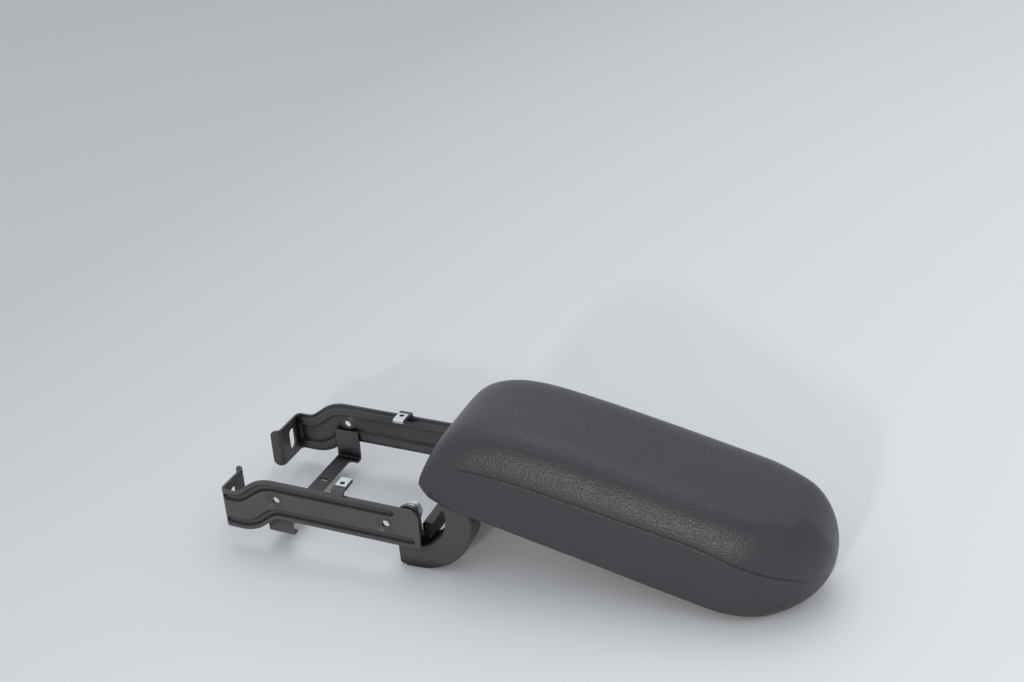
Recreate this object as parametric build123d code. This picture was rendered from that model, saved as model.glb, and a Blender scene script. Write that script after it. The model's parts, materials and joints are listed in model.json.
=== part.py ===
from build123d import *
import math
import os

# Car centre armrest: a padded lid on two goose-neck hinge arms, carried by a pressed-steel side frame.
# All pieces are drawn about the hinge axis (the Y axis): +X towards the pad's front, +Z up, near side at -Y.
# The frame and the pad are then turned to the angles at which the part lies on a table.

# Side frame, millimetres
SHEET = 2.0
ARM_SPAN = 130.0
ARM_HEIGHT = 36.5
ARM_ABOVE_AXIS = 9.5
ARM_FRONT_REACH = 11.0
ARM_REAR_REACH = 174.0
ARM_TOP_CORNER = 8.0
ARM_BOTTOM_CORNER = 4.0
NECK_DROP = 18.5
NECK_RUN = 23.5
NECK_TOP_START = 135.5
NECK_BOTTOM_START = 122.0
NECK_OUTER_RADIUS = 38.0
NECK_INNER_RADIUS = 14.0
BEND_RADIUS = 4.0

BEAD_WIDTH = 6.6
BEAD_DEPTH = 1.8
BEAD_INSET = 6.6
BEAD_SLOPE = 35.0
BEAD_REAR_MARGIN = 5.0
UPPER_BEAD_END = -14.0
LOWER_BEAD_END = 3.0

FIXING_HOLE = 6.5
FIXING_REAR_X = -121.0
FIXING_FRONT_X = -19.5
FIXING_BELOW_AXIS = 9.6
DIMPLE_RADIUS = 8.6
DIMPLE_FLOOR_RADIUS = 5.6
DIMPLE_DEPTH = 1.4

# Rear tabs, bent inwards, with a lip turned to the rear at the free end
TAB_REACH = 34.0
LIP_LENGTH = 8.0
LIP_ANGLE = 72.0
LIP_TOP_CORNER = 4.5
LIP_BOTTOM_CORNER = 7.0
TAB_SLOT_LENGTH = 20.5
TAB_SLOT_WIDTH = 9.0
TAB_SLOT_INSET = 16.0

# Nut tabs on the top edges, with their spring clip nuts
NUT_TAB_X = -60.5
NUT_TAB_WIDTH = 11.0
NUT_TAB_RISE = 5.0
NUT_TAB_REACH = 16.5
NUT_HOLE_INSET = 10.5
NUT_SHEET = 0.8
NUT_WIDTH = 9.6
NUT_LEAF = 11.5
NUT_BORE = 4.4
NUT_COLLAR_RADIUS = 3.6
NUT_COLLAR_HEIGHT = 2.6
NUT_TAB_HOLE = 6.4

# Cross strap, welded on the lower beads
STRAP_REAR_X = -133.0
STRAP_LEG_WIDTH = 23.0
STRAP_WIDTH = 14.5
STRAP_BELOW_ARM = 18.0
STRAP_LEG_TOP = -16.5
STRAP_EAR = 6.0
STRAP_EAR_RADIUS = 3.0
STRAP_SLOT_LENGTH = 9.0
STRAP_SLOT_WIDTH = 3.5
STRAP_SLOT_Y = 19.0

# Friction hinge stack on each arm
STUD_RADIUS = 4.0
STUD_SEAT_RADIUS = 5.2
STUD_TAIL = 1.2
FRICTION_WASHER = 1.7
FRICTION_RADIUS = 8.6
SPRING_OUTER = 8.0
SPRING_SHEET = 0.9
SPRING_HEIGHT = 1.6
WASHER_OUTER = 8.2
WASHER = 1.4
STACK_BORE_CLEARANCE = 0.1
RUNNING_CLEARANCE = 0.05
AXIAL_CLEARANCE = 0.3
NUT_ACROSS_FLATS = 13.0
NUT_HEIGHT = 3.6
NUT_NYLON_RADIUS = 5.6
NUT_NYLON = 1.6

# Hinge arms, their web and their plastic cheeks
HINGE_PLATE = 3.0
HINGE_PLATE_OUTER = 51.5
HUB_RADIUS = 10.0
BUSH_RADIUS = 6.0
JOGGLE_START = 12.0
JOGGLE_END = 27.0
SPOKE_HALF = 10.0
CHEEK_INNER_RADIUS = 30.0
CHEEK_OUTER_RADIUS = 53.0
CHEEK_FACE = 57.0
CHEEK_DEPTH = 20.0
CHEEK_WALL = 2.5
CHEEK_TAIL = 15.5
CHEEK_TAIL_CHAMFER = 6.0
CHEEK_PLATE_GAP = 0.8
CHEEK_EDGE = 1.2
CHEEK_BOSS_RADIUS = 4.0
CHEEK_BOSS_ANGLES = (-62.0, -14.0)
CHEEK_SCREW_RADIUS = 1.5
CHEEK_SCREW_LENGTH = 6.8
WEB_X = 6.0
WEB_TOP = -13.0
WEB_HEIGHT = 23.0
WEB_FLANGE = 8.0
ROOT_START = 31.0
ROOT_LENGTH = 44.0
ROOT_HEIGHT = 24.0
HINGE_SCREW_RADIUS = 2.5
HINGE_SCREW_INSET = 9.0

# Pad, in its own level frame about the hinge axis
PAD_REAR = 2.5
PAD_LENGTH = 317.5
PAD_HALF_WIDTH = 60.3
PAD_BOTTOM = 21.0
PAD_TOP = 98.9
LIP_HEIGHT = 29.5
NOSE_HEIGHT = 56.0
REAR_ROUND = 122.0
REAR_ROUND_POWER = 3.0
FRONT_ROUND = 38.0
FRONT_ROUND_POWER = 1.95
REAR_PLAN_ROUND = 50.0
REAR_PLAN_POWER = 2.2
REAR_PLAN_FLAT = 0.91
FRONT_PLAN_ROUND = 76.0
FRONT_PLAN_POWER = 1.8
FRONT_TUCK = 110.0
UNDERSIDE_POWER = 2.0
SIDE_DRAFT = 20.0
SEAM_HEIGHT = 66.0
SEAM_RISE = 0.03
CROWN_POWER = 4.0
SIDE_POWER = 5.2
NOSE_SIDE_POWER = 3.3
COVER = 1.8
SOFT_GAP = 0.2
SHELL_WALL = 3.0
SHELL_TOP = 48.0
FLOOR_PLATE = 3.0
RIB = 2.2
RIB_PITCH = 55.0
SIDE_RIB = 3.0
PLATE_SLOT_GAP = 0.3
FLOOR_SCREW_RADIUS = 1.8
FLOOR_HEAD_RADIUS = 3.6
FLOOR_HEAD = 1.8
FLOOR_BOSS_RADIUS = 4.5
FLOOR_SCREW_LENGTH = 12.0
FLOOR_SCREW_INSET = 13.0
FLOOR_SCREW_BAYS = (1, 2, 3)

# Angles at which the part lies: the frame hangs off the hinge stop, the pad rests on its front edge
FRAME_PITCH = 2.5
HINGE_HEIGHT = CHEEK_OUTER_RADIUS
ARM_HALF = ARM_SPAN / 2
ARM_BOTTOM = ARM_ABOVE_AXIS - ARM_HEIGHT
ARM_INNER = ARM_HALF - SHEET
RIDGE = ARM_INNER - BEAD_DEPTH
LIP_TURN = math.radians(LIP_ANGLE)
LIP_REACH = LIP_LENGTH * math.sin(LIP_TURN) + SHEET / 2 * math.cos(LIP_TURN)
HINGE_PLATE_INNER = HINGE_PLATE_OUTER - HINGE_PLATE
EYE_OUTER = ARM_INNER - FRICTION_WASHER - AXIAL_CLEARANCE
EYE_INNER = EYE_OUTER - HINGE_PLATE
CHEEK_BACK = CHEEK_FACE - CHEEK_DEPTH
NOSE_DROP = (NOSE_HEIGHT - PAD_BOTTOM) / (NOSE_HEIGHT - PAD_BOTTOM + SIDE_DRAFT)
NOSE_TUCK = FRONT_TUCK * (1 - (1 - NOSE_DROP**UNDERSIDE_POWER) ** (1 / UNDERSIDE_POWER))
PAD_CONTACT = PAD_REAR + PAD_LENGTH - NOSE_TUCK
PAD_PITCH = math.degrees(
    math.atan2(PAD_BOTTOM, PAD_CONTACT) + math.asin(HINGE_HEIGHT / math.hypot(PAD_BOTTOM, PAD_CONTACT))
)
HINGE_SCREW_LEVEL = PAD_BOTTOM + ROOT_HEIGHT / 2
SECTION_POINTS = 28
# Shares of the pad's length at which its sections are drawn, closer where its ends turn in
SECTION_SHARES = (0.004, 0.012, 0.03, 0.07, 0.14, 0.24, 0.36, 0.5, 0.64, 0.74, 0.82, 0.88, 0.925, 0.955, 0.977, 0.99)
MARGIN = 40.0


def near_rod(radius, outer, inner):
    """A cylinder on the hinge axis between two distances from the mid-plane, on the near side."""
    middle = -(outer + inner) / 2
    return Pos(0, middle, 0) * Rot(90, 0, 0) * Cylinder(radius, outer - inner)


def near_ring(radius, bore, outer, inner):
    return near_rod(radius, outer, inner) - near_rod(bore, outer, inner)


def cross_rod(radius, x, z, outer, inner):
    """A cylinder along Y on the near side, away from the hinge axis."""
    return Pos(x, 0, z) * near_rod(radius, outer, inner)


def side_slab(profile, outer, inner):
    """A flat piece parallel to the side arms, from a profile drawn in X and Z."""
    return extrude(Plane.XZ.offset(outer) * profile, amount=inner - outer)


def bent_sheet(path, thickness):
    """The section of a bent sheet whose middle line is the path."""
    return Face(Wire(path.edges()).offset_2d(thickness / 2))


def far_copy(piece):
    """The mirror image of a solid, or of each solid in a group."""
    if isinstance(piece, list):
        return [far_copy(solid) for solid in piece]
    return mirror(piece, about=Plane.XZ)


def moved(place, piece):
    """A solid, or each solid in a group, carried to a new place."""
    if isinstance(piece, list):
        return [place * solid for solid in piece]
    return place * piece


def arm_outline():
    """The arm in side view: a straight front part, a goose-neck and the lower rear end with its rounded lip."""
    rear = -ARM_REAR_REACH - LIP_REACH
    low_top = ARM_ABOVE_AXIS - NECK_DROP
    low_bottom = ARM_BOTTOM - NECK_DROP
    low_middle = (low_top + low_bottom) / 2
    top = FilletPolyline(
        (ARM_FRONT_REACH, ARM_BOTTOM + ARM_HEIGHT / 2),
        (ARM_FRONT_REACH, ARM_ABOVE_AXIS),
        (-NECK_TOP_START, ARM_ABOVE_AXIS),
        (-NECK_TOP_START - NECK_RUN, low_top),
        (rear, low_top),
        (rear, low_middle),
        radius=[ARM_TOP_CORNER, NECK_OUTER_RADIUS, NECK_INNER_RADIUS, LIP_TOP_CORNER],
    )
    bottom = FilletPolyline(
        (rear, low_middle),
        (rear, low_bottom),
        (-NECK_BOTTOM_START - NECK_RUN, low_bottom),
        (-NECK_BOTTOM_START, ARM_BOTTOM),
        (ARM_FRONT_REACH, ARM_BOTTOM),
        (ARM_FRONT_REACH, ARM_BOTTOM + ARM_HEIGHT / 2),
        radius=[LIP_BOTTOM_CORNER, NECK_OUTER_RADIUS, NECK_INNER_RADIUS, ARM_BOTTOM_CORNER],
    )
    return make_face(top.edges() + bottom.edges())


def bead_path(edge_height, neck_start, inset, front_end, radii):
    """A line that follows one long edge of the arm at a constant distance."""
    half_turn = math.atan2(NECK_DROP, NECK_RUN) / 2
    shift = -inset * math.tan(half_turn)
    height = edge_height + inset
    return FilletPolyline(
        (front_end, height),
        (-neck_start + shift, height),
        (-neck_start - NECK_RUN + shift, height - NECK_DROP),
        (-ARM_REAR_REACH + BEAD_REAR_MARGIN, height - NECK_DROP),
        radius=radii,
    )


def side_arm():
    """A pressed arm of one sheet: bent in at the rear, with a slotted tab, two beads and two dimpled fixing holes."""
    middle = ARM_HALF - SHEET / 2
    fold = -(ARM_HALF - TAB_REACH)
    plan = FilletPolyline(
        (ARM_FRONT_REACH + MARGIN, -middle),
        (-ARM_REAR_REACH, -middle),
        (-ARM_REAR_REACH, fold),
        (-ARM_REAR_REACH - LIP_LENGTH * math.sin(LIP_TURN), fold + LIP_LENGTH * math.cos(LIP_TURN)),
        radius=BEND_RADIUS,
    )
    depth = ARM_HEIGHT + NECK_DROP + MARGIN
    strip = Pos(0, 0, ARM_ABOVE_AXIS - depth + MARGIN / 2) * extrude(bent_sheet(plan, SHEET), amount=depth)
    arm = strip & side_slab(arm_outline(), ARM_HALF + MARGIN, -MARGIN)

    slot = Rot(0, 0, 90) * SlotOverall(TAB_SLOT_LENGTH, TAB_SLOT_WIDTH)
    slot_at = Pos(-ARM_HALF + TAB_SLOT_INSET, ARM_ABOVE_AXIS - NECK_DROP - ARM_HEIGHT / 2)
    arm -= extrude(Plane.YZ.offset(-ARM_REAR_REACH - 2 * SHEET) * slot_at * slot, amount=4 * SHEET)

    outer_bend = NECK_OUTER_RADIUS - BEAD_INSET
    inner_bend = NECK_INNER_RADIUS + BEAD_INSET
    upper = bead_path(ARM_ABOVE_AXIS, NECK_TOP_START, -BEAD_INSET, UPPER_BEAD_END, [outer_bend, inner_bend])
    lower = bead_path(ARM_BOTTOM, NECK_BOTTOM_START, BEAD_INSET, LOWER_BEAD_END, [inner_bend, outer_bend])
    for path in (upper, lower):
        groove = bent_sheet(path, BEAD_WIDTH)
        ridge = bent_sheet(path, BEAD_WIDTH + SHEET)
        arm -= extrude(Plane.XZ.offset(ARM_HALF) * groove, amount=-BEAD_DEPTH, taper=BEAD_SLOPE)
        arm += extrude(Plane.XZ.offset(ARM_INNER) * ridge, amount=-BEAD_DEPTH, taper=BEAD_SLOPE)

    for x in (FIXING_REAR_X, FIXING_FRONT_X):
        dimple = Rot(-90, 0, 0) * Cone(DIMPLE_RADIUS, DIMPLE_FLOOR_RADIUS, DIMPLE_DEPTH)
        arm += Pos(x, -ARM_INNER + DIMPLE_DEPTH / 2, -FIXING_BELOW_AXIS) * dimple
        arm -= Pos(x, -ARM_HALF + DIMPLE_DEPTH / 2, -FIXING_BELOW_AXIS) * dimple
        arm -= cross_rod(FIXING_HOLE / 2, x, -FIXING_BELOW_AXIS, ARM_HALF, ARM_INNER - 2 * SHEET)

    arm += nut_tab()
    arm -= near_rod(STUD_SEAT_RADIUS, ARM_HALF, ARM_INNER)
    return arm


def nut_tab():
    middle = ARM_HALF - SHEET / 2
    level = ARM_ABOVE_AXIS + NUT_TAB_RISE - SHEET / 2
    path = FilletPolyline(
        (-middle, ARM_ABOVE_AXIS - SHEET),
        (-middle, level),
        (-ARM_HALF + NUT_TAB_REACH, level),
        radius=BEND_RADIUS / 2,
    )
    plane = Plane.YZ.offset(NUT_TAB_X - NUT_TAB_WIDTH / 2)
    tab = extrude(plane * bent_sheet(path, SHEET), amount=NUT_TAB_WIDTH)
    hole = Pos(NUT_TAB_X, -ARM_HALF + NUT_HOLE_INSET, level) * Cylinder(NUT_TAB_HOLE / 2, 2 * SHEET)
    return tab - hole


def clip_nut():
    top = ARM_ABOVE_AXIS + NUT_TAB_RISE
    tip = -ARM_HALF + NUT_TAB_REACH + SHEET
    path = FilletPolyline(
        (tip - NUT_LEAF, top + NUT_SHEET / 2),
        (tip, top + NUT_SHEET / 2),
        (tip, top - SHEET - NUT_SHEET / 2),
        (tip - NUT_LEAF, top - SHEET - NUT_SHEET / 2),
        radius=NUT_SHEET,
    )
    plane = Plane.YZ.offset(NUT_TAB_X - NUT_WIDTH / 2)
    nut = extrude(plane * bent_sheet(path, NUT_SHEET), amount=NUT_WIDTH)
    hole_y = -ARM_HALF + NUT_HOLE_INSET
    collar_middle = top - SHEET - NUT_SHEET / 2 - NUT_COLLAR_HEIGHT / 2
    nut += Pos(NUT_TAB_X, hole_y, collar_middle) * Cylinder(NUT_COLLAR_RADIUS, NUT_COLLAR_HEIGHT)
    nut -= Pos(NUT_TAB_X, hole_y, top) * Cylinder(NUT_BORE / 2, 2 * MARGIN)
    return nut


def cross_strap():
    reach = RIDGE - SHEET / 2
    level = ARM_BOTTOM - STRAP_BELOW_ARM + SHEET / 2
    path = FilletPolyline(
        (-reach, STRAP_LEG_TOP),
        (-reach, level),
        (reach, level),
        (reach, STRAP_LEG_TOP),
        radius=BEND_RADIUS / 2,
    )
    plane = Plane.YZ.offset(STRAP_REAR_X)
    strap = extrude(plane * bent_sheet(path, SHEET), amount=STRAP_LEG_WIDTH)
    relief_width = STRAP_LEG_WIDTH - STRAP_WIDTH
    relief = RectangleRounded(2 * relief_width, 2 * (reach - STRAP_EAR), STRAP_EAR_RADIUS)
    relief_at = Pos(STRAP_REAR_X + STRAP_WIDTH + relief_width, 0, level - SHEET)
    strap -= relief_at * extrude(relief, amount=2 * SHEET)
    slot = extrude(SlotOverall(STRAP_SLOT_LENGTH, STRAP_SLOT_WIDTH), amount=2 * SHEET)
    strap -= Pos(STRAP_REAR_X + STRAP_WIDTH / 2, STRAP_SLOT_Y, level - SHEET) * slot
    return strap


def stack_faces():
    """Distances from the mid-plane at which the pieces inboard of the hinge eye meet."""
    washer = EYE_INNER - AXIAL_CLEARANCE
    springs = washer - WASHER
    end_washer = springs - 2 * SPRING_HEIGHT
    nut = end_washer - WASHER
    return washer, springs, end_washer, nut


def pivot_stud():
    nut = stack_faces()[-1]
    shank = near_rod(STUD_RADIUS, ARM_INNER, nut - NUT_HEIGHT - NUT_NYLON - STUD_TAIL)
    return shank + near_rod(STUD_SEAT_RADIUS, ARM_HALF, ARM_INNER)


def friction_washer():
    bore = STUD_RADIUS + STACK_BORE_CLEARANCE
    return near_ring(FRICTION_RADIUS, bore, ARM_INNER, ARM_INNER - FRICTION_WASHER)


def disc_springs():
    """Two cupped spring discs set rim to rim."""
    bore = STUD_RADIUS + STACK_BORE_CLEARANCE
    lift = SPRING_HEIGHT - SPRING_SHEET
    corners = [(bore, 0), (SPRING_OUTER, lift), (SPRING_OUTER, SPRING_HEIGHT), (bore, SPRING_SHEET)]
    section = make_face(Polyline(*corners, close=True).edges())
    disc = revolve(Plane.XZ * section, axis=Axis.Z)
    springs, end_washer = stack_faces()[1:3]
    first = Pos(0, -springs, 0) * Rot(-90, 0, 0) * disc
    second = Pos(0, -end_washer, 0) * Rot(90, 0, 0) * disc
    return [first, second]


def thrust_washers():
    washer, _, end_washer, _ = stack_faces()
    bore = STUD_RADIUS + STACK_BORE_CLEARANCE
    return [near_ring(WASHER_OUTER, bore, face, face - WASHER) for face in (washer, end_washer)]


def lock_nut():
    nut = stack_faces()[-1]
    hexagon = RegularPolygon(NUT_ACROSS_FLATS / 2, 6, major_radius=False)
    body = side_slab(hexagon, nut, nut - NUT_HEIGHT)
    body += near_rod(NUT_NYLON_RADIUS, nut - NUT_HEIGHT, nut - NUT_HEIGHT - NUT_NYLON)
    return body - near_rod(STUD_RADIUS, nut, nut - NUT_HEIGHT - NUT_NYLON)


def under_pad_height(x):
    """Height of the pad's underside above the hinge axis, as the part lies."""
    pitch = math.radians(PAD_PITCH)
    return (PAD_BOTTOM - x * math.sin(pitch)) / math.cos(pitch)


def below_pad(rear):
    """The region of the side view below the pad's underside and in front of a rear limit."""
    reach = CHEEK_OUTER_RADIUS + MARGIN
    corners = [
        (-rear, -reach),
        (reach, -reach),
        (reach, under_pad_height(reach)),
        (0, under_pad_height(0)),
        (0, 0),
        (-rear, 0),
    ]
    return make_face(Polyline(*corners, close=True).edges())


def cheek_profile():
    ring = Circle(CHEEK_OUTER_RADIUS) - Circle(CHEEK_INNER_RADIUS)
    middle = -(CHEEK_OUTER_RADIUS + CHEEK_INNER_RADIUS) / 2
    tail = Polyline(
        (0, -CHEEK_OUTER_RADIUS),
        (-CHEEK_TAIL + CHEEK_TAIL_CHAMFER, -CHEEK_OUTER_RADIUS),
        (-CHEEK_TAIL, -CHEEK_OUTER_RADIUS + CHEEK_TAIL_CHAMFER),
        (-CHEEK_TAIL, middle),
        (0, middle),
        close=True,
    )
    return (ring & below_pad(CHEEK_TAIL)) + make_face(tail.edges())


def boss_places():
    radius = (CHEEK_OUTER_RADIUS + CHEEK_INNER_RADIUS) / 2
    for angle in CHEEK_BOSS_ANGLES:
        turn = math.radians(angle)
        yield radius * math.cos(turn), radius * math.sin(turn)


def hinge_cheek():
    """A moulded J-shaped cover, open towards the mid-plane and slotted for the hinge arm."""
    profile = cheek_profile()
    cheek = side_slab(profile, CHEEK_FACE, CHEEK_BACK)
    cheek = chamfer(cheek.faces().sort_by(Axis.Y)[0].edges(), CHEEK_EDGE)
    cheek -= side_slab(offset(profile, -CHEEK_WALL), CHEEK_FACE - CHEEK_WALL, CHEEK_BACK)
    passage = offset(flat_profile(), PLATE_SLOT_GAP)
    cheek -= side_slab(passage, HINGE_PLATE_OUTER + PLATE_SLOT_GAP, CHEEK_BACK)
    for x, z in boss_places():
        cheek += cross_rod(CHEEK_BOSS_RADIUS, x, z, CHEEK_FACE - CHEEK_WALL, HINGE_PLATE_OUTER)
        cheek -= cross_rod(CHEEK_SCREW_RADIUS, x, z, HINGE_PLATE_INNER + CHEEK_SCREW_LENGTH, HINGE_PLATE_OUTER)
    return cheek


def flat_profile():
    """The hinge arm's flat lower part in the side view: spoke foot, curved neck and root."""
    neck_outer = CHEEK_OUTER_RADIUS - CHEEK_WALL - CHEEK_PLATE_GAP
    neck_inner = CHEEK_INNER_RADIUS + CHEEK_WALL + CHEEK_PLATE_GAP
    neck = (Circle(neck_outer) - Circle(neck_inner)) & below_pad(SPOKE_HALF)
    foot_end = (neck_outer + neck_inner) / 2
    foot = Pos(0, -(JOGGLE_END + foot_end) / 2) * Rectangle(2 * SPOKE_HALF, foot_end - JOGGLE_END)
    root_bottom = PAD_BOTTOM - HINGE_PLATE
    root_middle = Pos(ROOT_START + ROOT_LENGTH / 2, root_bottom + ROOT_HEIGHT / 2)
    root = Rot(0, 0, -PAD_PITCH) * root_middle * RectangleRounded(ROOT_LENGTH, ROOT_HEIGHT, HINGE_PLATE)
    return foot + neck + root


def hinge_arm():
    """The steel goose-neck: an eye by the side arm, a joggled spoke and the flat neck and root."""
    flat_middle = (HINGE_PLATE_OUTER + HINGE_PLATE_INNER) / 2
    eye_middle = (EYE_OUTER + EYE_INNER) / 2
    path = FilletPolyline(
        (-eye_middle, HUB_RADIUS),
        (-eye_middle, -JOGGLE_START),
        (-flat_middle, -JOGGLE_END),
        (-flat_middle, -JOGGLE_END - HINGE_PLATE),
        radius=HINGE_PLATE,
    )
    strip = extrude(Plane.YZ.offset(-SPOKE_HALF) * bent_sheet(path, HINGE_PLATE), amount=2 * SPOKE_HALF)
    spoke_view = Pos(0, -JOGGLE_END / 2) * Rectangle(2 * SPOKE_HALF, JOGGLE_END)
    spoke = strip & side_slab(spoke_view + Circle(HUB_RADIUS), ARM_INNER, HINGE_PLATE_INNER)
    arm = spoke + side_slab(flat_profile(), HINGE_PLATE_OUTER, HINGE_PLATE_INNER)
    arm -= near_rod(BUSH_RADIUS, EYE_OUTER, EYE_INNER)
    for x, z in boss_places():
        arm -= cross_rod(CHEEK_SCREW_RADIUS, x, z, HINGE_PLATE_OUTER, HINGE_PLATE_INNER)
    for screw in hinge_screw_rods():
        arm -= screw
    return arm


def hinge_screw_rods():
    """The shanks of the two screws that hold one hinge arm's root to the shell's rail."""
    head_face = HINGE_PLATE_INNER - 2 * SIDE_RIB
    for along in hinge_screw_places():
        shank = cross_rod(HINGE_SCREW_RADIUS, along, HINGE_SCREW_LEVEL, HINGE_PLATE_OUTER, head_face)
        yield Rot(0, PAD_PITCH, 0) * shank


def hinge_screw_places():
    return ROOT_START + HINGE_SCREW_INSET, ROOT_START + ROOT_LENGTH - HINGE_SCREW_INSET


def hinge_screws():
    screws = []
    head_face = HINGE_PLATE_INNER - 2 * SIDE_RIB
    radius = 2 * HINGE_SCREW_RADIUS
    for along, shank in zip(hinge_screw_places(), hinge_screw_rods()):
        head = cross_rod(radius, along, HINGE_SCREW_LEVEL, head_face, head_face - HINGE_SCREW_RADIUS)
        screw = shank + Rot(0, PAD_PITCH, 0) * head
        screws += [screw, far_copy(screw)]
    return screws


def cheek_screws():
    screws = []
    head = CHEEK_SCREW_RADIUS
    for x, z in boss_places():
        shank = cross_rod(CHEEK_SCREW_RADIUS, x, z, HINGE_PLATE_INNER + CHEEK_SCREW_LENGTH, HINGE_PLATE_INNER)
        screw = shank + cross_rod(2 * CHEEK_SCREW_RADIUS, x, z, HINGE_PLATE_INNER, HINGE_PLATE_INNER - head)
        screws += [screw, far_copy(screw)]
    return screws


def hinge_bush():
    return near_ring(BUSH_RADIUS, STUD_RADIUS + RUNNING_CLEARANCE, EYE_OUTER, EYE_INNER)


def hinge_cross_web():
    path = FilletPolyline(
        (WEB_X + WEB_FLANGE, WEB_TOP),
        (WEB_X, WEB_TOP),
        (WEB_X, WEB_TOP - WEB_HEIGHT),
        radius=BEND_RADIUS / 2,
    )
    return side_slab(bent_sheet(path, SHEET), HINGE_PLATE_INNER, -HINGE_PLATE_INNER)


def rounded_share(distance, length, power):
    """From 0 at an end to 1 at the given distance inside it, along a superellipse."""
    share = min(max(distance / length, 0.0), 1.0)
    return (1 - (1 - share) ** power) ** (1 / power)


def pad_section(along, inset):
    """The closed section of the pad at a distance from its rear end, drawn in Y and Z."""
    to_front = PAD_LENGTH - along
    rear = rounded_share(along, REAR_ROUND, REAR_ROUND_POWER)
    front = rounded_share(to_front, FRONT_ROUND, FRONT_ROUND_POWER)
    rear_plan = REAR_PLAN_FLAT + (1 - REAR_PLAN_FLAT) * rounded_share(along, REAR_PLAN_ROUND, REAR_PLAN_POWER)
    front_plan = rounded_share(to_front, FRONT_PLAN_ROUND, FRONT_PLAN_POWER)
    half_width = PAD_HALF_WIDTH * rear_plan * front_plan - inset
    side = SEAM_HEIGHT + SEAM_RISE * (PAD_REAR + along)
    end = LIP_HEIGHT if along < PAD_LENGTH / 2 else NOSE_HEIGHT
    side_height = end + (side - end) * rear * front
    top = end + (PAD_TOP - end) * rear * front - inset
    rear_drop = rounded_share(along, REAR_PLAN_ROUND, UNDERSIDE_POWER)
    drop = rear_drop * rounded_share(to_front, FRONT_TUCK, UNDERSIDE_POWER)
    bottom = end + (PAD_BOTTOM - SIDE_DRAFT - end) * drop + inset * (1 - drop)
    side_power = NOSE_SIDE_POWER + (SIDE_POWER - NOSE_SIDE_POWER) * front
    points = []
    for index in range(SECTION_POINTS):
        angle = 2 * math.pi * index / SECTION_POINTS
        across, rise = math.cos(angle), math.sin(angle)
        power = CROWN_POWER if rise > 0 else side_power
        y = half_width * math.copysign(abs(across) ** (2 / power), across)
        reach = top - side_height if rise > 0 else side_height - bottom
        z = side_height + reach * math.copysign(abs(rise) ** (2 / power), rise)
        points.append((y, z))
    return make_face(Spline(*points, periodic=True).edges())


def pad_form(inset):
    """The pad's crowned body, a loft whose two ends close on small rounded sections."""
    usable = PAD_LENGTH - 2 * inset
    faces = []
    for share in SECTION_SHARES:
        section = pad_section(PAD_LENGTH * share, inset)
        faces.append(Plane.YZ.offset(PAD_REAR + inset + usable * share) * section)
    return loft(faces)


def level_slab(low, high):
    """A block that covers the pad's whole plan between two heights."""
    size = PAD_LENGTH + 2 * MARGIN
    middle = PAD_REAR + PAD_LENGTH / 2
    return Pos(middle, 0, (low + high) / 2) * Box(size, size, high - low)


def above_seam():
    block = level_slab(SEAM_HEIGHT, SEAM_HEIGHT + PAD_TOP)
    lean = -math.degrees(math.atan(SEAM_RISE))
    return Pos(0, 0, SEAM_HEIGHT) * Rot(0, lean, 0) * Pos(0, 0, -SEAM_HEIGHT) * block


def floor_screw_places():
    reach = PAD_HALF_WIDTH - FLOOR_SCREW_INSET
    for bay in FLOOR_SCREW_BAYS:
        for side in (-1, 1):
            yield ROOT_START + ROOT_LENGTH + RIB_PITCH * bay, side * reach


def plate_slots(gap):
    """The room that the two hinge arm roots take inside the pad."""
    length = ROOT_LENGTH + 2 * gap
    width = HINGE_PLATE + 2 * gap
    middle = (HINGE_PLATE_OUTER + HINGE_PLATE_INNER) / 2
    block = Pos(ROOT_START + ROOT_LENGTH / 2, -middle, PAD_BOTTOM + ROOT_HEIGHT / 2) * Box(
        length, width, 2 * ROOT_HEIGHT
    )
    return block + far_copy(block)


def pad_pieces():
    cover = (pad_form(0) & level_slab(PAD_BOTTOM, PAD_TOP + MARGIN)) - pad_form(COVER)
    lining = pad_form(COVER + SOFT_GAP)
    hollow = pad_form(COVER + SOFT_GAP + SHELL_WALL)
    seam = above_seam()
    shell_bottom = PAD_BOTTOM + FLOOR_PLATE

    foam = lining & level_slab(SHELL_TOP, PAD_TOP + MARGIN)
    shell = lining & level_slab(shell_bottom, SHELL_TOP)
    cavity = hollow & level_slab(shell_bottom, SHELL_TOP - SHELL_WALL)
    ribs = cavity & shell_ribs(shell_bottom)
    shell = shell - cavity + ribs
    floor = lining & level_slab(PAD_BOTTOM, shell_bottom)
    floor -= plate_slots(PLATE_SLOT_GAP)
    shank_top = shell_bottom + FLOOR_SCREW_LENGTH
    for x, y in floor_screw_places():
        bore = Pos(x, y, (PAD_BOTTOM + shank_top) / 2) * Cylinder(FLOOR_SCREW_RADIUS, shank_top - PAD_BOTTOM)
        floor -= bore
        floor -= Pos(x, y, PAD_BOTTOM + FLOOR_HEAD / 2) * Cylinder(FLOOR_HEAD_RADIUS, FLOOR_HEAD)
        shell -= bore
    for rod in hinge_screw_rods():
        level_rod = Rot(0, -PAD_PITCH, 0) * rod
        shell -= level_rod
        shell -= far_copy(level_rod)
    return {
        "cover_top": cover & seam,
        "cover_side": cover - seam,
        "foam_pad": foam,
        "base_shell": shell,
        "bottom_cover": floor,
        "bottom_cover_screws": floor_screws(shell_bottom),
    }


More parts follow.
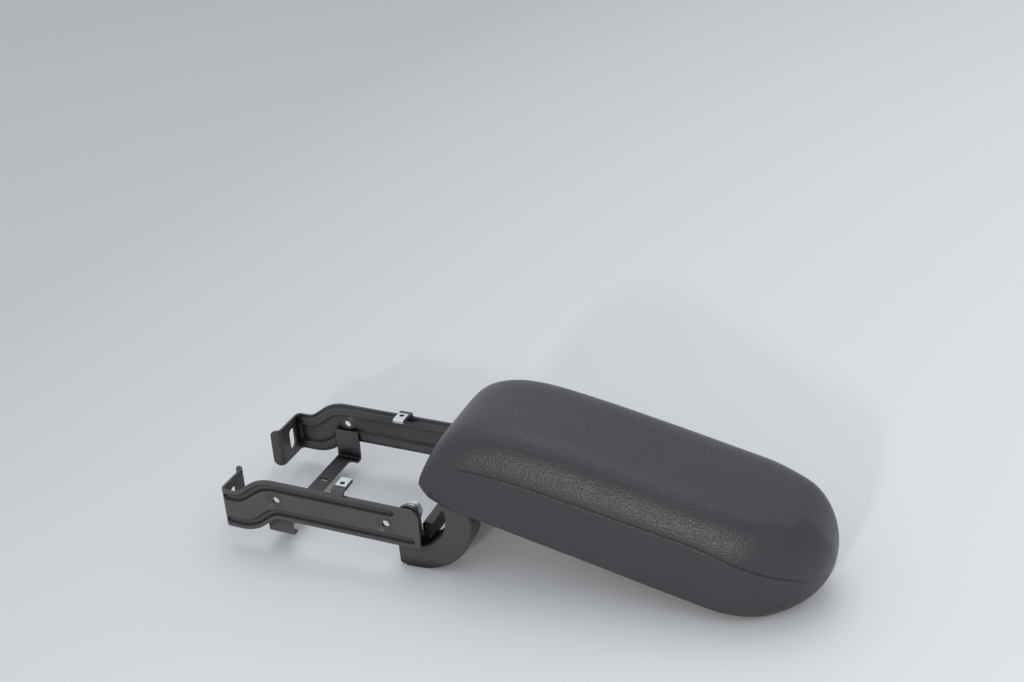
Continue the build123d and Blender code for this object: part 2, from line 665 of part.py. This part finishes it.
def shell_ribs(bottom):
    """Cross ribs, the two rails that the hinge arms are screwed to, and the floor's screw bosses."""
    height = SHELL_TOP - bottom
    middle = bottom + height / 2
    rail_start = ROOT_START - SIDE_RIB
    rail = Pos(rail_start + ROOT_LENGTH / 2 + SIDE_RIB, -HINGE_PLATE_INNER + SIDE_RIB, middle) * Box(
        ROOT_LENGTH + 2 * SIDE_RIB, 2 * SIDE_RIB, height
    )
    ribs = rail + far_copy(rail)
    place = ROOT_START + ROOT_LENGTH + RIB_PITCH / 2
    while place < PAD_REAR + PAD_LENGTH - RIB_PITCH / 2:
        ribs += Pos(place, 0, middle) * Box(RIB, 2 * PAD_HALF_WIDTH, height)
        place += RIB_PITCH
    for x, y in floor_screw_places():
        ribs += Pos(x, y, middle) * Cylinder(FLOOR_BOSS_RADIUS, height)
    return ribs


def floor_screws(shell_bottom):
    top = shell_bottom + FLOOR_SCREW_LENGTH
    screws = []
    for x, y in floor_screw_places():
        head = Pos(x, y, PAD_BOTTOM + FLOOR_HEAD / 2) * Cylinder(FLOOR_HEAD_RADIUS, FLOOR_HEAD)
        shank = Pos(x, y, (PAD_BOTTOM + FLOOR_HEAD + top) / 2) * Cylinder(
            FLOOR_SCREW_RADIUS, top - PAD_BOTTOM - FLOOR_HEAD
        )
        screws.append(head + shank)
    return screws


def frame_pieces():
    pieces = {"cross_strap": cross_strap()}
    makers = {
        "side_arm": side_arm,
        "clip_nut": clip_nut,
        "pivot_stud": pivot_stud,
        "disc_springs": disc_springs,
        "friction_washer": friction_washer,
        "thrust_washers": thrust_washers,
        "lock_nut": lock_nut,
    }
    for name, make in makers.items():
        near = make()
        pieces[name + "_near"] = near
        pieces[name + "_far"] = far_copy(near)
    return {name: moved(Rot(0, FRAME_PITCH, 0), piece) for name, piece in pieces.items()}


def armrest_pieces():
    pieces = {"hinge_cross_web": hinge_cross_web(), "hinge_screws": hinge_screws(), "cheek_screws": cheek_screws()}
    makers = {"hinge_arm": hinge_arm, "hinge_bush": hinge_bush, "hinge_cheek": hinge_cheek}
    for name, make in makers.items():
        near = make()
        pieces[name + "_near"] = near
        pieces[name + "_far"] = far_copy(near)
    for name, piece in pad_pieces().items():
        pieces[name] = moved(Rot(0, PAD_PITCH, 0), piece)
    return pieces


def main():
    os.makedirs("parts", exist_ok=True)
    pieces = {**frame_pieces(), **armrest_pieces()}
    shapes = {name: Compound(children=piece) if isinstance(piece, list) else piece for name, piece in pieces.items()}
    boxes = [shape.bounding_box() for shape in shapes.values()]
    rear = min(box.min.X for box in boxes)
    front = max(box.max.X for box in boxes)
    place = Pos(-(rear + front) / 2, 0, HINGE_HEIGHT)
    for name, shape in shapes.items():
        export_step(place * shape, f"parts/{name}.step")
    print(f"hinge axis at x {-(rear + front) / 2:.3f}, z {HINGE_HEIGHT:.3f}; pad pitch {PAD_PITCH:.3f}")


main()
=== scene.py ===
import json
import math

import bmesh
import bpy
from mathutils import Matrix, Vector, noise


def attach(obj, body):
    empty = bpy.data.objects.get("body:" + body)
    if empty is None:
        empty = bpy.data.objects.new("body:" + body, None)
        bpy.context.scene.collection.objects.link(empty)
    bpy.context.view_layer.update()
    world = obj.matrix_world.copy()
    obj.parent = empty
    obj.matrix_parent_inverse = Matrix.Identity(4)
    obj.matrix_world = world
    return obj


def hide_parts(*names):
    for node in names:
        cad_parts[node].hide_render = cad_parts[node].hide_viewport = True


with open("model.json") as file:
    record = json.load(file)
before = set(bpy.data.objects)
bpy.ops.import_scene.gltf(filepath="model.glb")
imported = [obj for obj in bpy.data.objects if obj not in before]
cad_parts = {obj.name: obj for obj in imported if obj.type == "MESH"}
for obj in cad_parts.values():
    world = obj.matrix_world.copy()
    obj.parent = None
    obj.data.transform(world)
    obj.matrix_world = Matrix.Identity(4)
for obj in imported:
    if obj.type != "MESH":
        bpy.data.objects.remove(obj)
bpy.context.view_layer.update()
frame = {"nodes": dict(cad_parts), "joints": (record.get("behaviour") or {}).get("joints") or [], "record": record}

MM = 0.001
HINGE = frame["joints"][0]["pos_m"]
HINGE_X = HINGE[0] / MM
HINGE_Z = HINGE[2] / MM

# Form of the pad, in millimetres, in its own level frame about the hinge axis, which PAD_PITCH tilts
PAD_REAR = 2.5
PAD_LENGTH = 317.5
PAD_HALF_WIDTH = 60.3
PAD_BOTTOM = 21.0
PAD_TOP = 102.0
LIP_HEIGHT = 29.5
NOSE_HEIGHT = 56.0
REAR_ROUND = 122.0
REAR_ROUND_POWER = 3.0
FRONT_ROUND = 38.0
FRONT_ROUND_POWER = 1.95
REAR_PLAN_ROUND = 50.0
REAR_PLAN_POWER = 2.2
REAR_PLAN_FLAT = 0.91
FRONT_PLAN_ROUND = 76.0
FRONT_PLAN_POWER = 1.8
FRONT_TUCK = 110.0
UNDERSIDE_POWER = 2.0
SIDE_DRAFT = 20.0
SEAM_HEIGHT = 66.0
SEAM_RISE = 0.03
SEAM_NOSE_DROP = 20.0
SEAM_NOSE_ZONE = 110.0
SEAM_NOSE_POWER = 1.5
CROWN_POWER = 5.0
EDGE_POWER = 1.3
SIDE_POWER = 5.2
NOSE_SIDE_POWER = 3.3
PAD_PITCH = math.radians(14.403)

# Mesh of the cover panels: sections along the pad, crowded at its two ends, and steps round each section
STATIONS = 190
TOP_STEPS = 110
SIDE_STEPS = 56
REAR_ZONE = 44.0
REAR_CROWDING = 3
FRONT_ZONE = 70.0
FRONT_CROWDING = 2
ZONE_SHARE = 0.3
FLAT_SECTION = 0.01
WELD = 0.00001

# Sewn edge, puff and sag of the cover panels, in millimetres
SEAM_DEPTH = 0.9
TOP_SEAM_REACH = 1.1
SIDE_SEAM_REACH = 0.5
SEAM_START_REAR = 12.0
SEAM_START_FRONT = 4.0
SEAM_FADE = 28.0
PLAN_STEP = 0.5
PUFF_HEIGHT = 0.35
PUFF_REACH = 9.0
PUCKER = 0.2
PUCKER_REACH = 6.0
PUCKER_PITCH = 0.22
SAG = 0.4
SAG_PITCH = 0.021
COVER_THICKNESS = 1.5
THIN_END = 10.0
FOAM_INSET = 5.0
FOAM_END = 14.0
STITCH_PITCH = 4.2
STITCH_LENGTH = 1.8
STITCH_RADIUS = 0.25
STITCH_SIDES = 8
STITCHED_FROM = 0.9


def clamped(value):
    return min(max(value, 0.0), 1.0)


def eased(index, steps):
    """The share of the way from 0 to 1 at a step, with the steps closest at both ends."""
    return 0.5 - 0.5 * math.cos(math.pi * index / steps)


def rounded_share(distance, length, power):
    """From 0 at an end to 1 at the given distance inside it, along a superellipse."""
    share = clamped(distance / length)
    return (1 - (1 - share) ** power) ** (1 / power)


def section_values(along):
    """Half-width, seam height, top, bottom and side power of the section at a distance from the rear."""
    to_front = PAD_LENGTH - along
    rear = rounded_share(along, REAR_ROUND, REAR_ROUND_POWER)
    front = rounded_share(to_front, FRONT_ROUND, FRONT_ROUND_POWER)
    rear_plan = rounded_share(along, REAR_PLAN_ROUND, REAR_PLAN_POWER)
    front_plan = rounded_share(to_front, FRONT_PLAN_ROUND, FRONT_PLAN_POWER)
    half_width = PAD_HALF_WIDTH * (REAR_PLAN_FLAT + (1 - REAR_PLAN_FLAT) * rear_plan) * front_plan
    end = LIP_HEIGHT if along < PAD_LENGTH / 2 else NOSE_HEIGHT
    nose_share = max(1 - to_front / SEAM_NOSE_ZONE, 0.0)
    seam = SEAM_HEIGHT + SEAM_RISE * (PAD_REAR + along) - SEAM_NOSE_DROP * nose_share**SEAM_NOSE_POWER
    side = end + (seam - end) * rear * front
    top = end + (PAD_TOP - end) * rear * front
    rear_drop = rounded_share(along, REAR_PLAN_ROUND, UNDERSIDE_POWER)
    drop = rear_drop * rounded_share(to_front, FRONT_TUCK, UNDERSIDE_POWER)
    bottom = end + (PAD_BOTTOM - SIDE_DRAFT - end) * drop
    power = NOSE_SIDE_POWER + (SIDE_POWER - NOSE_SIDE_POWER) * front
    return half_width, side, top, bottom, power


def to_row(u, y, w):
    """A point of the pad's level frame, in millimetres, to the row frame in metres."""
    x = u * math.cos(PAD_PITCH) + w * math.sin(PAD_PITCH) + HINGE_X
    z = -u * math.sin(PAD_PITCH) + w * math.cos(PAD_PITCH) + HINGE_Z
    return Vector((x * MM, y * MM, z * MM))


def station_places():
    """Distances from the rear end, close together where the form turns fast."""
    places = []
    for index in range(STATIONS):
        share = index / (STATIONS - 1)
        if share < ZONE_SHARE:
            places.append(REAR_ZONE * (share / ZONE_SHARE) ** REAR_CROWDING)
        elif share > 1 - ZONE_SHARE:
            places.append(PAD_LENGTH - FRONT_ZONE * ((1 - share) / ZONE_SHARE) ** FRONT_CROWDING)
        else:
            middle = (share - ZONE_SHARE) / (1 - 2 * ZONE_SHARE)
            places.append(REAR_ZONE + (PAD_LENGTH - REAR_ZONE - FRONT_ZONE) * middle)
    return places


def seam_strength(along):
    """1 along the sides, fading to 0 where the seam runs out round the two ends."""
    rear = clamped((along - SEAM_START_REAR) / SEAM_FADE)
    front = clamped((PAD_LENGTH - along - SEAM_START_FRONT) / SEAM_FADE)
    share = rear * front
    return share * share * (3 - 2 * share)


def top_row(along):
    """Points over the top of one section, from seam to seam, each with its distance to the nearer seam."""
    half_width, side, top, _, _ = section_values(along)
    row = []
    for index in range(TOP_STEPS + 1):
        angle = math.pi * eased(index, TOP_STEPS)
        across, rise = math.cos(angle), math.sin(angle)
        y = half_width * math.copysign(abs(across) ** (2 / CROWN_POWER), across)
        w = side + (top - side) * max(rise, 0.0) ** (2 / EDGE_POWER)
        away = math.hypot(half_width - abs(y), w - side)
        row.append((PAD_REAR + along, y, w, away))
    return row


def side_row(along, sign):
    """Points down one side of a section, from seam to underside, each with its distance to the seam."""
    half_width, side, _, bottom, power = section_values(along)
    reach = side - bottom
    limit = 1.0 if reach < FLAT_SECTION else min((side - PAD_BOTTOM) / reach, 1.0)
    row = []
    for index in range(SIDE_STEPS + 1):
        share = limit * eased(index, SIDE_STEPS)
        y = sign * half_width * max(1 - share**power, 0.0) ** (1 / power)
        w = side - reach * share
        row.append((PAD_REAR + along, y, w, reach * share))
    return row


def grid_faces(rows, columns, start, flip):
    faces = []
    for i in range(rows - 1):
        for j in range(columns - 1):
            a = start + i * columns + j
            quad = (a, a + 1, a + columns + 1, a + columns)
            faces.append(quad[::-1] if flip else quad)
    return faces


def scene_object(name, data):
    """A new object in the scene with the given mesh, light or lens."""
    obj = bpy.data.objects.new(name, data)
    bpy.context.scene.collection.objects.link(obj)
    return obj


def mesh_object(name, vertices, faces):
    mesh = bpy.data.meshes.new(name)
    mesh.from_pydata(vertices, [], faces)
    mesh.update()
    return scene_object(name, mesh)


def shade_smooth(obj):
    obj.data.polygons.foreach_set("use_smooth", [True] * len(obj.data.polygons))


def end_share(along):
    """0 where the panels close at the two ends, 1 from THIN_END inside them."""
    return min(along / THIN_END, (PAD_LENGTH - along) / THIN_END, 1.0)


def seam_outward(along, sign):
    """The direction square to the seam's plan curve, so that both panels turn in together."""
    before = max(along - PLAN_STEP, 0.0)
    after = min(along + PLAN_STEP, PAD_LENGTH)
    slope = (section_values(after)[0] - section_values(before)[0]) / (after - before)
    return (to_row(-slope, sign, 0) - to_row(0, 0, 0)).normalized()


def soften(obj, points, seam_reach):
    """Turns the panel in along its sewn edge, puffs it beside the seam and lets it sag a little."""
    mesh = obj.data
    mesh.update()
    normals = [vertex.normal.copy() for vertex in mesh.vertices]
    for vertex, normal, (u, y, _, away) in zip(mesh.vertices, normals, points):
        place = vertex.co / MM
        along = u - PAD_REAR
        strength = seam_strength(along)
        tuck = SEAM_DEPTH * math.exp(-((away / seam_reach) ** 2))
        pucker = PUCKER * noise.noise(place * PUCKER_PITCH) * math.exp(-((away / PUCKER_REACH) ** 2))
        puff = PUFF_HEIGHT * (away / PUFF_REACH) * math.exp(1 - away / PUFF_REACH)
        sag = SAG * noise.noise(place * SAG_PITCH) * min(away / PUFF_REACH, 1.0) * end_share(along)
        vertex.co += normal * ((puff * strength + sag) * MM)
        vertex.co += seam_outward(along, math.copysign(1, y)) * ((pucker - tuck) * strength * MM)


def thickness_weights(obj, points):
    """A vertex group that thins the panel to nothing where it closes at the two ends."""
    group = obj.vertex_groups.new(name="thickness")
    for index, (u, _, _, _) in enumerate(points):
        group.add([index], end_share(u - PAD_REAR), "REPLACE")
    return group.name


def close_up(obj, points):
    """Welds meeting points, gives the panel smooth shading and then its thickness, inwards."""
    weights = thickness_weights(obj, points)
    work = bmesh.new()
    work.from_mesh(obj.data)
    bmesh.ops.remove_doubles(work, verts=work.verts, dist=WELD)
    bmesh.ops.dissolve_degenerate(work, edges=work.edges, dist=WELD)
    work.to_mesh(obj.data)
    work.free()
    shade_smooth(obj)
    thick = obj.modifiers.new("thickness", "SOLIDIFY")
    thick.thickness = COVER_THICKNESS * MM
    thick.offset = -1
    thick.vertex_group = weights
    with bpy.context.temp_override(object=obj, active_object=obj):
        bpy.ops.object.modifier_apply(modifier=thick.name)


def sewn_panel(name, points, faces, seam_reach):
    obj = mesh_object(name, [to_row(*point[:3]) for point in points], faces)
    soften(obj, points, seam_reach)
    close_up(obj, points)
    return obj


def cover_top():
    places = station_places()
    points = [point for along in places for point in top_row(along)]
    faces = grid_faces(len(places), TOP_STEPS + 1, 0, False)
    return sewn_panel("pad_cover_top", points, faces, TOP_SEAM_REACH)


def cover_side():
    """The band round the pad's sides, made as its near half and its far half."""
    places = station_places()
    points = []
    faces = []
    for sign in (-1, 1):
        start = len(points)
        for along in places:
            points += side_row(along, sign)
        faces += grid_faces(len(places), SIDE_STEPS + 1, start, sign > 0)
    return sewn_panel("pad_cover_side", points, faces, SIDE_SEAM_REACH)


def foam_core():
    """The cushion under the top panel, crowned like it and flat where it sits on the shell."""
    places = [along for along in station_places() if FOAM_END < along < PAD_LENGTH - FOAM_END]
    columns = TOP_STEPS + 1
    vertices = []
    for along in places:
        half_width, side, top, _, _ = section_values(along)
        narrow = 1 - FOAM_INSET / half_width
        low = 1 - FOAM_INSET / (top - side)
        vertices += [to_row(u, y * narrow, side + (w - side) * low) for u, y, w, _ in top_row(along)]
    faces = grid_faces(len(places), columns, 0, False)
    for row in range(len(places) - 1):
        first = row * columns
        faces.append((first, first + columns, first + 2 * columns - 1, first + columns - 1))
    last = columns * (len(places) - 1)
    faces.append(tuple(reversed(range(columns))))
    faces.append(tuple(range(last, last + columns)))
    obj = mesh_object("pad_foam", vertices, faces)
    shade_smooth(obj)
    return obj


def seam_line(sign):
    """Points along the sewn seam on one side, from rear to front."""
    points = []
    for along in station_places():
        if seam_strength(along) > STITCHED_FROM:
            half_width, side, _, _, _ = section_values(along)
            points.append(to_row(PAD_REAR + along, sign * half_width, side))
    return points


def add_stitch(work, start, step, axis, sign):
    """One short thread across the joint between the two panels, at the bottom of the seam."""
    out = step.cross(axis).normalized()
    if out.y * sign < 0:
        out = -out
    turn = Matrix((axis.cross(out), out, axis)).transposed().to_4x4()
    turn.translation = start + step / 2 - out * (SEAM_DEPTH * MM)
    bmesh.ops.create_cone(
        work,
        cap_ends=True,
        segments=STITCH_SIDES,
        radius1=STITCH_RADIUS * MM,
        radius2=STITCH_RADIUS * MM,
        depth=STITCH_LENGTH * MM,
        matrix=turn,
    )


def seam_stitches():
    """The threads of both seams, spaced by at least STITCH_PITCH."""
    work = bmesh.new()
    axis = (to_row(0, 0, 1) - to_row(0, 0, 0)).normalized()
    for sign in (-1, 1):
        points = seam_line(sign)
        travelled = 0.0
        for before, after in zip(points, points[1:]):
            step = after - before
            travelled += step.length
            if travelled >= STITCH_PITCH * MM:
                travelled = 0.0
                add_stitch(work, before, step, axis, sign)
    mesh = bpy.data.meshes.new("seam_stitches")
    work.to_mesh(mesh)
    work.free()
    return scene_object("seam_stitches", mesh)


def new_material(name):
    material = bpy.data.materials.new(name)
    material.use_nodes = True
    nodes = material.node_tree.nodes
    return material, nodes, material.node_tree.links, nodes["Principled BSDF"]


def add_bump(nodes, links, shader, height, strength, distance):
    bump = nodes.new("ShaderNodeBump")
    bump.inputs["Strength"].default_value = strength
    bump.inputs["Distance"].default_value = distance
    links.new(height, bump.inputs["Height"])
    links.new(bump.outputs["Normal"], shader.inputs["Normal"])


def object_texture(nodes, links, kind, scale):
    place = nodes.new("ShaderNodeTexCoord")
    texture = nodes.new(kind)
    texture.inputs["Scale"].default_value = scale
    links.new(place.outputs["Object"], texture.inputs["Vector"])
    return texture


def spread(nodes, links, source, low, high):
    """A value from 0 to 1, stretched to run from low to high."""
    remap = nodes.new("ShaderNodeMapRange")
    remap.inputs["To Min"].default_value = low
    remap.inputs["To Max"].default_value = high
    links.new(source, remap.inputs["Value"])
    return remap.outputs["Result"]


def mixed_colour(nodes, links, source, first, second):
    mix = nodes.new("ShaderNodeMixRGB")
    mix.inputs["Color1"].default_value = (*first, 1)
    mix.inputs["Color2"].default_value = (*second, 1)
    links.new(source, mix.inputs["Fac"])
    return mix.outputs["Color"]


def painted_hollow_shade(nodes, links, tone):
    """The tone, darkened by painted shade where ambient occlusion finds hollows: in beads, dimples and folds."""
    # Painted shade: ambient occlusion mixes the tone towards near black in hollows, beads, dimples and folds.
    hollow = nodes.new("ShaderNodeAmbientOcclusion")
    hollow.inputs["Distance"].default_value = 0.012
    shade = spread(nodes, links, hollow.outputs["AO"], low=-3.0, high=1.1)
    painted_shade_tone = nodes.new("ShaderNodeMixRGB")
    painted_shade_tone.inputs["Color1"].default_value = (0.003, 0.003, 0.003, 1)
    links.new(shade, painted_shade_tone.inputs["Fac"])
    links.new(tone, painted_shade_tone.inputs["Color2"])
    return painted_shade_tone.outputs["Color"]


def vinyl():
    """Pebble-grained charcoal vinyl: small rounded cells, finer creases and a slow change of tone."""
    dark = (0.031, 0.030, 0.034)
    light = (0.042, 0.040, 0.045)
    cell_rise = -1.0
    material, nodes, links, shader = new_material("charcoal_vinyl")
    cells = object_texture(nodes, links, "ShaderNodeTexVoronoi", scale=780)
    cells.feature = "SMOOTH_F1"
    cells.inputs["Smoothness"].default_value = 0.45
    fine = object_texture(nodes, links, "ShaderNodeTexNoise", scale=2600)
    slow = object_texture(nodes, links, "ShaderNodeTexNoise", scale=14)
    grain = nodes.new("ShaderNodeMath")
    grain.operation = "MULTIPLY_ADD"
    grain.inputs[1].default_value = cell_rise
    links.new(cells.outputs["Distance"], grain.inputs[0])
    links.new(spread(nodes, links, fine.outputs["Fac"], low=0, high=0.25), grain.inputs[2])
    add_bump(nodes, links, shader, grain.outputs[0], strength=0.6, distance=0.0005)
    tone = mixed_colour(nodes, links, slow.outputs["Fac"], dark, light)
    links.new(tone, shader.inputs["Base Color"])
    gloss = spread(nodes, links, cells.outputs["Distance"], low=0.26, high=0.42)
    links.new(gloss, shader.inputs["Roughness"])
    shader.inputs["Specular IOR Level"].default_value = 0.42
    return material


def coated(name, dark, light, roughness, grain_scale, grain):
    """A paint or moulded finish with fine grain, a slightly uneven gloss and painted shade darkening its hollows.
    """
    unevenness = 0.07
    material, nodes, links, shader = new_material(name)
    fine = object_texture(nodes, links, "ShaderNodeTexNoise", grain_scale)
    fine.inputs["Detail"].default_value = 4
    slow = object_texture(nodes, links, "ShaderNodeTexNoise", scale=35)
    slow.inputs["Detail"].default_value = 5
    add_bump(nodes, links, shader, fine.outputs["Fac"], grain, distance=0.0002)
    tone = mixed_colour(nodes, links, slow.outputs["Fac"], dark, light)
    # The base colour carries painted shade in its hollows.
    links.new(painted_hollow_shade(nodes, links, tone), shader.inputs["Base Color"])
    gloss = spread(nodes, links, slow.outputs["Fac"], roughness - unevenness, roughness + unevenness)
    links.new(gloss, shader.inputs["Roughness"])
    return material


def plated(name, dark, light, roughness, metallic):
    """Plated or bare metal with cloudy tone and fine marks."""
    unevenness = 0.1
    material, nodes, links, shader = new_material(name)
    cloud = object_texture(nodes, links, "ShaderNodeTexNoise", scale=160)
    cloud.inputs["Detail"].default_value = 6
    marks = object_texture(nodes, links, "ShaderNodeTexNoise", scale=1500)
    add_bump(nodes, links, shader, marks.outputs["Fac"], strength=0.12, distance=0.0001)
    tone = mixed_colour(nodes, links, cloud.outputs["Fac"], dark, light)
    links.new(tone, shader.inputs["Base Color"])
    gloss = spread(nodes, links, cloud.outputs["Fac"], roughness - unevenness, roughness + unevenness)
    links.new(gloss, shader.inputs["Roughness"])
    shader.inputs["Metallic"].default_value = metallic
    return material


def cushion_foam():
    """Cream moulded foam with open pores, whose pits are darkened by painted shade."""
    dark = (0.55, 0.5, 0.36)
    light = (0.72, 0.67, 0.5)
    material, nodes, links, shader = new_material("cushion_foam")
    pores = object_texture(nodes, links, "ShaderNodeTexVoronoi", scale=900)
    add_bump(nodes, links, shader, pores.outputs["Distance"], strength=0.6, distance=0.0005)
    # Painted shade: the pits of the pores, low in the bump, are coloured darker.
    tone = mixed_colour(nodes, links, pores.outputs["Distance"], dark, light)
    links.new(tone, shader.inputs["Base Color"])
    shader.inputs["Roughness"].default_value = 0.9
    return material


def floor_with_painted_light():
    """Pale matt card with painted light: its colour brightens towards the right, standing in for more light
    falling there.
    """
    painted_shade_tone = (0.56, 0.57, 0.58)
    painted_light_tone = (0.94, 0.95, 0.96)
    material, nodes, links, shader = new_material("pale_floor_painted_light")
    place = nodes.new("ShaderNodeTexCoord")
    split = nodes.new("ShaderNodeSeparateXYZ")
    links.new(place.outputs["Object"], split.inputs["Vector"])
    # Painted light: the colour runs from the dimmer tone to the brighter one along X.
    across = nodes.new("ShaderNodeMapRange")
    across.inputs["From Min"].default_value = -0.8
    across.inputs["From Max"].default_value = 1.2
    links.new(split.outputs["X"], across.inputs["Value"])
    tone = mixed_colour(nodes, links, across.outputs["Result"], painted_shade_tone, painted_light_tone)
    links.new(tone, shader.inputs["Base Color"])
    shader.inputs["Roughness"].default_value = 0.6
    return material


# Finishes by material slot: name, darker tone, lighter tone and then what each kind of finish needs
materials = {
    "black_steel": coated(
        "satin_black_paint",
        (0.044, 0.044, 0.045),
        (0.062, 0.062, 0.063),
        roughness=0.36,
        grain_scale=1300,
        grain=0.10,
    ),
    "zinc_steel": plated(
        "zinc_plate", (0.58, 0.60, 0.63), (0.72, 0.74, 0.76), roughness=0.45, metallic=0.6
    ),
    "spring_steel": plated(
        "spring_steel", (0.46, 0.46, 0.46), (0.62, 0.62, 0.60), roughness=0.34, metallic=0.9
    ),
    "friction_disc": coated(
        "friction_lining",
        (0.05, 0.045, 0.04),
        (0.08, 0.07, 0.06),
        roughness=0.8,
        grain_scale=900,
        grain=0.3,
    ),
    "bush_brass": plated(
        "bearing_brass", (0.66, 0.48, 0.2), (0.8, 0.62, 0.3), roughness=0.3, metallic=1.0
    ),
    "cheek_plastic": coated(
        "cheek_moulding",
        (0.036, 0.036, 0.037),
        (0.050, 0.050, 0.051),
        roughness=0.47,
        grain_scale=1900,
        grain=0.22,
    ),
    "shell_plastic": coated(
        "shell_moulding",
        (0.016, 0.016, 0.017),
        (0.026, 0.026, 0.027),
        roughness=0.52,
        grain_scale=1900,
        grain=0.22,
    ),
    "cover_vinyl": vinyl(),
    "foam": cushion_foam(),
}
thread = coated(
    "seam_thread",
    (0.02, 0.02, 0.022),
    (0.03, 0.03, 0.033),
    roughness=0.6,
    grain_scale=3000,
    grain=0.3,
)

for entry in frame["record"]["subparts"]:
    finish = materials[entry["material_slot"]]
    for holder in frame["nodes"][entry["node"]].material_slots:
        holder.material = finish

top_panel = cover_top()
side_band = cover_side()
stitches = seam_stitches()
foam = foam_core()
for panel, node_name, slot_name in (
    (top_panel, "cover_top", "cover_vinyl"),
    (side_band, "cover_side", "cover_vinyl"),
    (foam, "foam_pad", "foam"),
):
    panel.data.materials.append(materials[slot_name])
    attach(panel, "armrest")
    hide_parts(node_name)
stitches.data.materials.append(thread)
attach(stitches, "armrest")

# Pale floor, whose colour carries painted light brightening it towards the right
FLOOR_HALF = 6.0
square = ((-1, -1), (1, -1), (1, 1), (-1, 1))
floor = mesh_object("floor", [(x * FLOOR_HALF, y * FLOOR_HALF, 0) for x, y in square], [(0, 1, 2, 3)])
floor.data.materials.append(floor_with_painted_light())

# A small flash low in front, a large lamp overhead and a pale sky
LIGHT_AIM = Vector((0.05, 0, 0.05))
SKY_COLOUR = (0.90, 0.93, 0.97, 1)
SKY_STRENGTH = 0.75


def area_light(name, place, size, power, tint):
    data = bpy.data.lights.new(name, "AREA")
    data.shape = "DISK"
    data.size = size
    data.energy = power
    data.color = tint
    obj = scene_object(name, data)
    obj.location = place
    obj.rotation_euler = (LIGHT_AIM - Vector(place)).to_track_quat("-Z", "Y").to_euler()


area_light("flash", place=(0.12, -1.78, 0.66), size=0.13, power=11.0, tint=(1.0, 0.99, 0.97))
area_light("overhead", place=(-0.1, 0.6, 2.4), size=1.8, power=13.0, tint=(0.96, 0.98, 1.0))

world = bpy.data.worlds.new("studio")
world.use_nodes = True
sky = world.node_tree.nodes["Background"]
sky.inputs["Color"].default_value = SKY_COLOUR
sky.inputs["Strength"].default_value = SKY_STRENGTH
bpy.context.scene.world = world
bpy.context.scene.view_settings.view_transform = "Standard"

# The photograph's camera, solved from its points, in millimetres from the floor below the hinge axis
AZIMUTH = math.radians(24.30)
ELEVATION = math.radians(27.22)
ROLL = math.radians(-5.31)
CAMERA_FROM_HINGE = Vector((439.1, -802.5, 641.2))
FOCAL_PIXELS = 1300.0
PHOTO_WIDTH = 1024.0
SENSOR = 36.0
NEAREST_SEEN = 0.01
level_right = Vector((math.cos(AZIMUTH), math.sin(AZIMUTH), 0))
level_back = Vector((math.sin(AZIMUTH), -math.cos(AZIMUTH), 0))
back = level_back * math.cos(ELEVATION) + Vector((0, 0, math.sin(ELEVATION)))
right = level_right * math.cos(ROLL) + back.cross(level_right) * math.sin(ROLL)
placed = Matrix((right, back.cross(right), back)).transposed().to_4x4()
placed.translation = (CAMERA_FROM_HINGE + Vector((HINGE_X, 0, 0))) * MM
lens = bpy.data.cameras.new("camera")
lens.sensor_width = SENSOR
lens.sensor_fit = "HORIZONTAL"
lens.lens = FOCAL_PIXELS * SENSOR / PHOTO_WIDTH
lens.clip_start = NEAREST_SEEN
camera = scene_object("camera", lens)
camera.matrix_world = placed
bpy.context.scene.camera = camera
